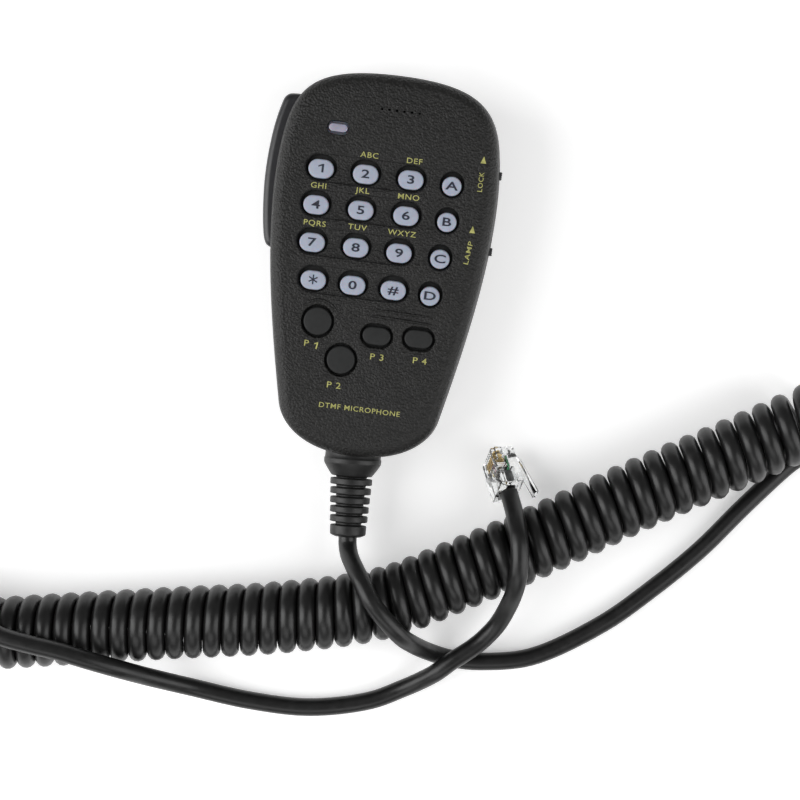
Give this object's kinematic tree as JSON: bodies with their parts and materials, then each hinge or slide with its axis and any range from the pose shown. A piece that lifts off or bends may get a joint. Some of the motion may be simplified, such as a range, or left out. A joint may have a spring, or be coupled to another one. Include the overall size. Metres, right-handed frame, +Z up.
{
  "type": "hand microphone",
  "caption": "Hand microphone with a keypad, push-to-talk bar, hang-up stud, ribbed strain relief and a long curly cord that ends in a clear modular plug.",
  "frame": {"origin": "middle of the microphone body's footprint on the surface it lies on", "axes": "+X to the right of the keypad, +Y towards the top of the microphone, +Z up; the microphone lies on its back, leant 4 degrees up at the top by its hang-up stud"},
  "size_m": [0.259, 0.1794, 0.0293],
  "materials": {
    "case": "fine leather grain",
    "pale_keys": "satin silicone",
    "dark_keys": "matte",
    "black_plastic": "smooth",
    "soft_rubber": "satin",
    "cord_jacket": "semi-gloss",
    "clear_plastic": "clear",
    "gold_contacts": "polished",
    "steel": "plain",
    "silicone": "satin",
    "circuit_board": "satin",
    "cloth": "woven",
    "switch_plastic": "plain"
  },
  "bodies": {
    "case": {"front_shell": "case", "rear_shell": "case", "case_screw_1": "steel", "case_screw_2": "steel", "case_screw_3": "steel", "case_screw_4": "steel", "indicator_lens": "clear_plastic", "keypad_mat": "silicone", "main_board": "circuit_board", "mic_capsule": "steel", "capsule_boot": "soft_rubber", "dust_cloth": "cloth", "ptt_pivot_pin": "steel", "ptt_spring": "steel", "ptt_switch": "switch_plastic", "lock_switch": "switch_plastic", "lamp_switch": "switch_plastic", "hanger_stud": "black_plastic", "stud_screw": "steel", "stud_nut_plate": "steel", "strain_relief": "soft_rubber", "cord_clamp": "black_plastic", "clamp_screw": "steel", "wire_header": "switch_plastic", "inner_wires": "cord_jacket", "cord_lead_mic": "cord_jacket", "cord_coil": "cord_jacket", "cord_lead_plug": "cord_jacket", "plug_body": "clear_plastic", "plug_contact_1": "gold_contacts", "plug_contact_2": "gold_contacts", "plug_contact_3": "gold_contacts", "plug_contact_4": "gold_contacts", "plug_contact_5": "gold_contacts", "plug_contact_6": "gold_contacts"},
    "key_1": {"key_1": "pale_keys"},
    "key_2": {"key_2": "pale_keys"},
    "key_3": {"key_3": "pale_keys"},
    "key_a": {"key_a": "pale_keys"},
    "key_4": {"key_4": "pale_keys"},
    "key_5": {"key_5": "pale_keys"},
    "key_6": {"key_6": "pale_keys"},
    "key_b": {"key_b": "pale_keys"},
    "key_7": {"key_7": "pale_keys"},
    "key_8": {"key_8": "pale_keys"},
    "key_9": {"key_9": "pale_keys"},
    "key_c": {"key_c": "pale_keys"},
    "key_star": {"key_star": "pale_keys"},
    "key_0": {"key_0": "pale_keys"},
    "key_hash": {"key_hash": "pale_keys"},
    "key_d": {"key_d": "pale_keys"},
    "key_p1": {"key_p1": "dark_keys"},
    "key_p2": {"key_p2": "dark_keys"},
    "key_p3": {"key_p3": "dark_keys"},
    "key_p4": {"key_p4": "dark_keys"},
    "ptt_bar": {"ptt_bar": "black_plastic"},
    "ptt_plunger": {"ptt_plunger": "switch_plastic"},
    "lock_slider": {"lock_slider": "black_plastic"},
    "lamp_slider": {"lamp_slider": "black_plastic"},
    "plug_latch": {"plug_latch": "clear_plastic"}
  },
  "joints": [
    {"name": "key_1_press", "type": "slide", "parent": "case", "child": "key_1", "axis": [0, 0.0706, -0.9975], "range_m": [0, 0.001], "stiffness_N_per_m": 300},
    {"name": "key_2_press", "type": "slide", "parent": "case", "child": "key_2", "axis": [0, 0.0706, -0.9975], "range_m": [0, 0.001], "stiffness_N_per_m": 300},
    {"name": "key_3_press", "type": "slide", "parent": "case", "child": "key_3", "axis": [0, 0.0706, -0.9975], "range_m": [0, 0.001], "stiffness_N_per_m": 300},
    {"name": "key_a_press", "type": "slide", "parent": "case", "child": "key_a", "axis": [0, 0.0706, -0.9975], "range_m": [0, 0.001], "stiffness_N_per_m": 300},
    {"name": "key_4_press", "type": "slide", "parent": "case", "child": "key_4", "axis": [0, 0.0706, -0.9975], "range_m": [0, 0.001], "stiffness_N_per_m": 300},
    {"name": "key_5_press", "type": "slide", "parent": "case", "child": "key_5", "axis": [0, 0.0706, -0.9975], "range_m": [0, 0.001], "stiffness_N_per_m": 300},
    {"name": "key_6_press", "type": "slide", "parent": "case", "child": "key_6", "axis": [0, 0.0706, -0.9975], "range_m": [0, 0.001], "stiffness_N_per_m": 300},
    {"name": "key_b_press", "type": "slide", "parent": "case", "child": "key_b", "axis": [0, 0.0706, -0.9975], "range_m": [0, 0.001], "stiffness_N_per_m": 300},
    {"name": "key_7_press", "type": "slide", "parent": "case", "child": "key_7", "axis": [0, 0.0706, -0.9975], "range_m": [0, 0.001], "stiffness_N_per_m": 300},
    {"name": "key_8_press", "type": "slide", "parent": "case", "child": "key_8", "axis": [0, 0.0706, -0.9975], "range_m": [0, 0.001], "stiffness_N_per_m": 300},
    {"name": "key_9_press", "type": "slide", "parent": "case", "child": "key_9", "axis": [0, 0.0706, -0.9975], "range_m": [0, 0.001], "stiffness_N_per_m": 300},
    {"name": "key_c_press", "type": "slide", "parent": "case", "child": "key_c", "axis": [0, 0.0706, -0.9975], "range_m": [0, 0.001], "stiffness_N_per_m": 300},
    {"name": "key_star_press", "type": "slide", "parent": "case", "child": "key_star", "axis": [0, 0.0706, -0.9975], "range_m": [0, 0.001], "stiffness_N_per_m": 300},
    {"name": "key_0_press", "type": "slide", "parent": "case", "child": "key_0", "axis": [0, 0.0706, -0.9975], "range_m": [0, 0.001], "stiffness_N_per_m": 300},
    {"name": "key_hash_press", "type": "slide", "parent": "case", "child": "key_hash", "axis": [0, 0.0706, -0.9975], "range_m": [0, 0.001], "stiffness_N_per_m": 300},
    {"name": "key_d_press", "type": "slide", "parent": "case", "child": "key_d", "axis": [0, 0.0706, -0.9975], "range_m": [0, 0.001], "stiffness_N_per_m": 300},
    {"name": "key_p1_press", "type": "slide", "parent": "case", "child": "key_p1", "axis": [0, 0.0706, -0.9975], "range_m": [0, 0.001], "stiffness_N_per_m": 300},
    {"name": "key_p2_press", "type": "slide", "parent": "case", "child": "key_p2", "axis": [0, 0.0706, -0.9975], "range_m": [0, 0.001], "stiffness_N_per_m": 300},
    {"name": "key_p3_press", "type": "slide", "parent": "case", "child": "key_p3", "axis": [0, 0.0706, -0.9975], "range_m": [0, 0.001], "stiffness_N_per_m": 300},
    {"name": "key_p4_press", "type": "slide", "parent": "case", "child": "key_p4", "axis": [0, 0.0706, -0.9975], "range_m": [0, 0.001], "stiffness_N_per_m": 300},
    {"name": "ptt_hinge", "type": "hinge", "parent": "case", "child": "ptt_bar", "pos_m": [-0.02495, 0.01552, 0.01363], "axis": [0, 0.0706, -0.9975], "range_deg": [0, 3.5], "stiffness_Nm_per_rad": 1},
    {"name": "ptt_plunger_slide", "type": "slide", "parent": "case", "child": "ptt_plunger", "axis": [1, 0, 0], "range_m": [0, 0.00124]},
    {"name": "lock_slide", "type": "slide", "parent": "case", "child": "lock_slider", "axis": [0, 0.9975, 0.0706], "range_m": [0, 0.002]},
    {"name": "lamp_slide", "type": "slide", "parent": "case", "child": "lamp_slider", "axis": [0, 0.9975, 0.0706], "range_m": [0, 0.002]},
    {"name": "plug_latch_flex", "type": "hinge", "parent": "case", "child": "plug_latch", "pos_m": [0.04484, -0.03608, 0.00375], "axis": [-0.1546, -0.6766, -0.7199], "range_deg": [0, 8], "stiffness_Nm_per_rad": 0.1}
  ],
  "couplings": [
    {"joint": "ptt_plunger_slide", "follows": "ptt_hinge", "m_per_rad": 0.0202}
  ]
}
